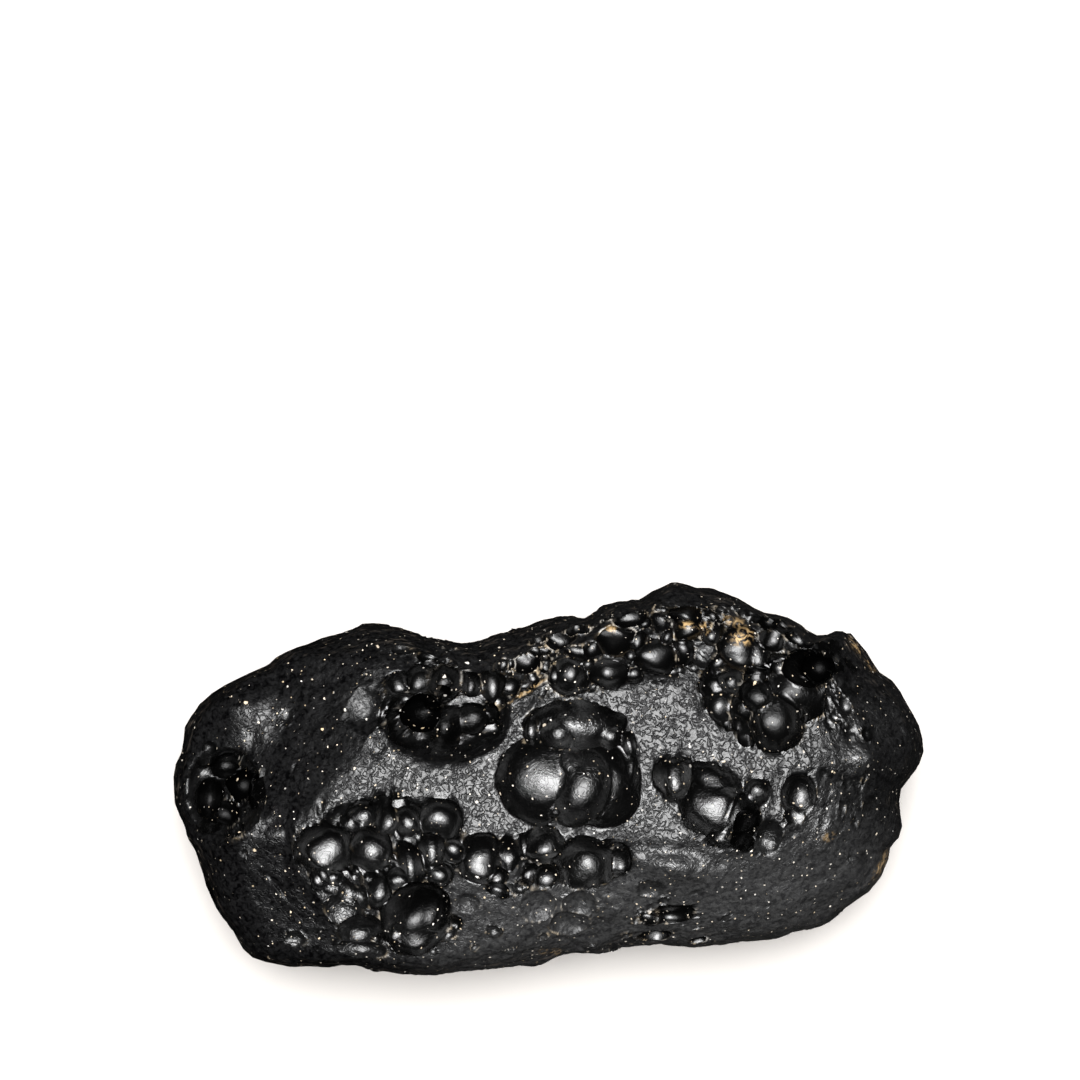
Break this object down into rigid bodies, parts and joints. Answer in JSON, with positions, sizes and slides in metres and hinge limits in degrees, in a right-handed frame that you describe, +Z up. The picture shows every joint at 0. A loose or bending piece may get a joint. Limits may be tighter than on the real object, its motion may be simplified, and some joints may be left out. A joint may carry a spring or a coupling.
{
  "type": "tektite",
  "caption": "Elongated lump of black natural glass with rounded ends, a broad sheened face and clusters of open gas-bubble pits; rests on a small flat spot.",
  "frame": {"origin": "on the surface that the stone rests on, under the middle of its bounding box", "axes": "+X along the stone's length, +Y across it, +Z up through its thinnest way"},
  "size_m": [0.0598, 0.0311, 0.0211],
  "materials": {
    "black_glass": "black natural glass, satin outside with a fine wrinkled skin, fire-polished inside the bubble pits"
  },
  "bodies": {
    "root": {"tektite": "black_glass"}
  },
  "joints": []
}
